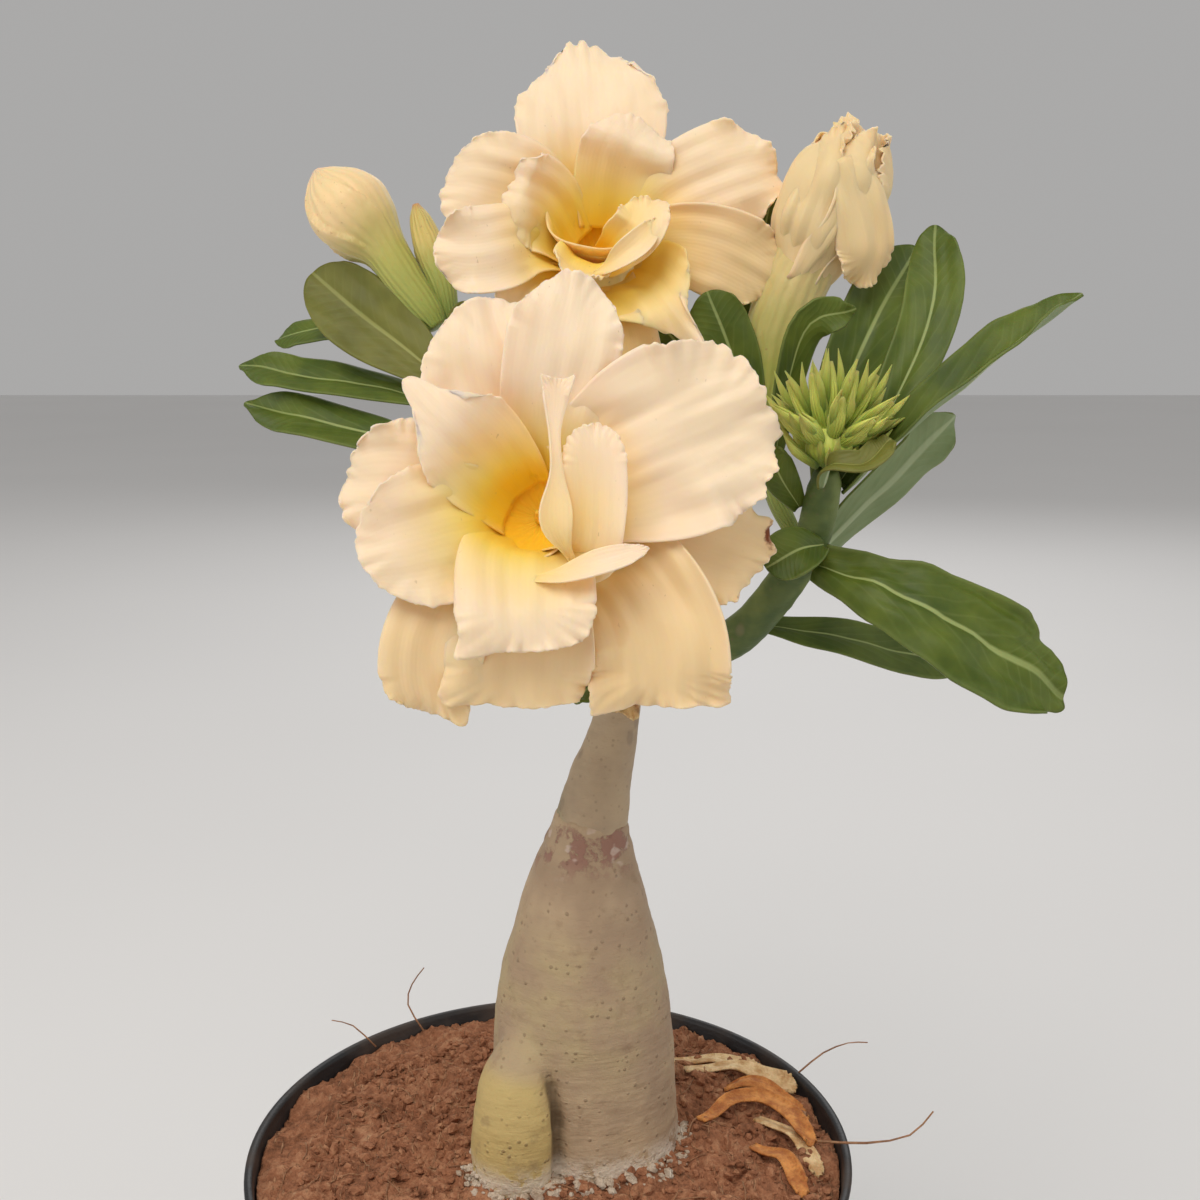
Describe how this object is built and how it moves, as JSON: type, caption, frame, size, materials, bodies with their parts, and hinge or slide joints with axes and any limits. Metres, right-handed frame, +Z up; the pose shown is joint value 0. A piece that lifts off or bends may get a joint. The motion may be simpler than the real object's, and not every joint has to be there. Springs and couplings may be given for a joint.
{
  "type": "potted desert rose adenium",
  "caption": "Grafted desert rose with a swollen stem in a round nursery pot, double cream flowers, buds and long green leaves.",
  "frame": {"origin": "centre of the flat underside of the pot", "axes": "+Z up along the pot's axis, the flowers face -Y"},
  "size_m": [0.1693, 0.13, 0.3456],
  "materials": {
    "pot_plastic": "matte black thin moulded plastic",
    "coir_soil": "loose reddish-brown coir and peat",
    "caudex_bark": "smooth dull beige bark with fine brown speckle",
    "green_stem": "smooth green young stem",
    "cream_petal": "soft cream petal, slightly waxy",
    "yellow_tube": "smooth yellow-green flower tube",
    "stamen": "soft golden yellow",
    "green_leaf": "semi-gloss mid green leaf",
    "young_bud": "smooth yellow-green bud",
    "dry_petal": "dry crinkled brown-edged petal",
    "dry_husk": "dry fibrous strip"
  },
  "bodies": {
    "root": {"caudex": "caudex_bark", "scion_stem": "caudex_bark", "left_branch": "green_stem", "right_branch": "green_stem", "pot": "pot_plastic", "soil": "coir_soil", "husk_back": "dry_husk", "husk_front": "dry_husk", "front_flower_tube": "yellow_tube", "front_stamens": "stamen", "back_flower_tube": "yellow_tube", "front_petal_inner_fold": "cream_petal", "front_petal_inner_right": "cream_petal", "front_petal_inner_bottom": "cream_petal", "front_petal_inner_left": "cream_petal", "front_petal_inner_top": "cream_petal", "front_petal_top_right": "cream_petal", "front_petal_top_left": "cream_petal", "front_petal_right": "cream_petal", "front_petal_low_right": "cream_petal", "front_petal_bottom": "cream_petal", "front_petal_low_left": "cream_petal", "front_petal_left": "cream_petal", "front_petal_right_low": "cream_petal", "back_petal_inner_low": "cream_petal", "back_petal_inner_right": "cream_petal", "back_petal_inner_top": "cream_petal", "back_petal_inner_left": "cream_petal", "back_petal_top": "cream_petal", "back_petal_left": "cream_petal", "back_petal_upper_right": "cream_petal", "back_petal_low_left": "cream_petal", "back_petal_low_right": "cream_petal", "back_petal_far_right": "cream_petal", "back_petal_lowest": "cream_petal", "left_bud": "yellow_tube", "small_bud": "young_bud", "spent_bloom": "cream_petal", "bud_cluster": "young_bud", "right_leaf_big": "green_leaf", "right_leaf_low": "green_leaf", "right_leaf_folded": "green_leaf", "right_leaf_pale": "green_leaf", "right_leaf_upright": "green_leaf", "right_leaf_behind": "green_leaf", "right_leaf_small": "green_leaf", "right_leaf_curled": "green_leaf", "right_leaf_hooked": "green_leaf", "right_leaf_dark": "green_leaf", "right_leaf_inner": "green_leaf", "right_leaf_top": "green_leaf", "right_leaf_under": "green_leaf", "left_leaf_broad": "green_leaf", "left_leaf_back": "green_leaf", "left_leaf_middle": "green_leaf", "left_leaf_low": "green_leaf", "left_leaf_inner": "green_leaf", "centre_leaf": "green_leaf", "withered_flower": "dry_petal"}
  },
  "joints": []
}
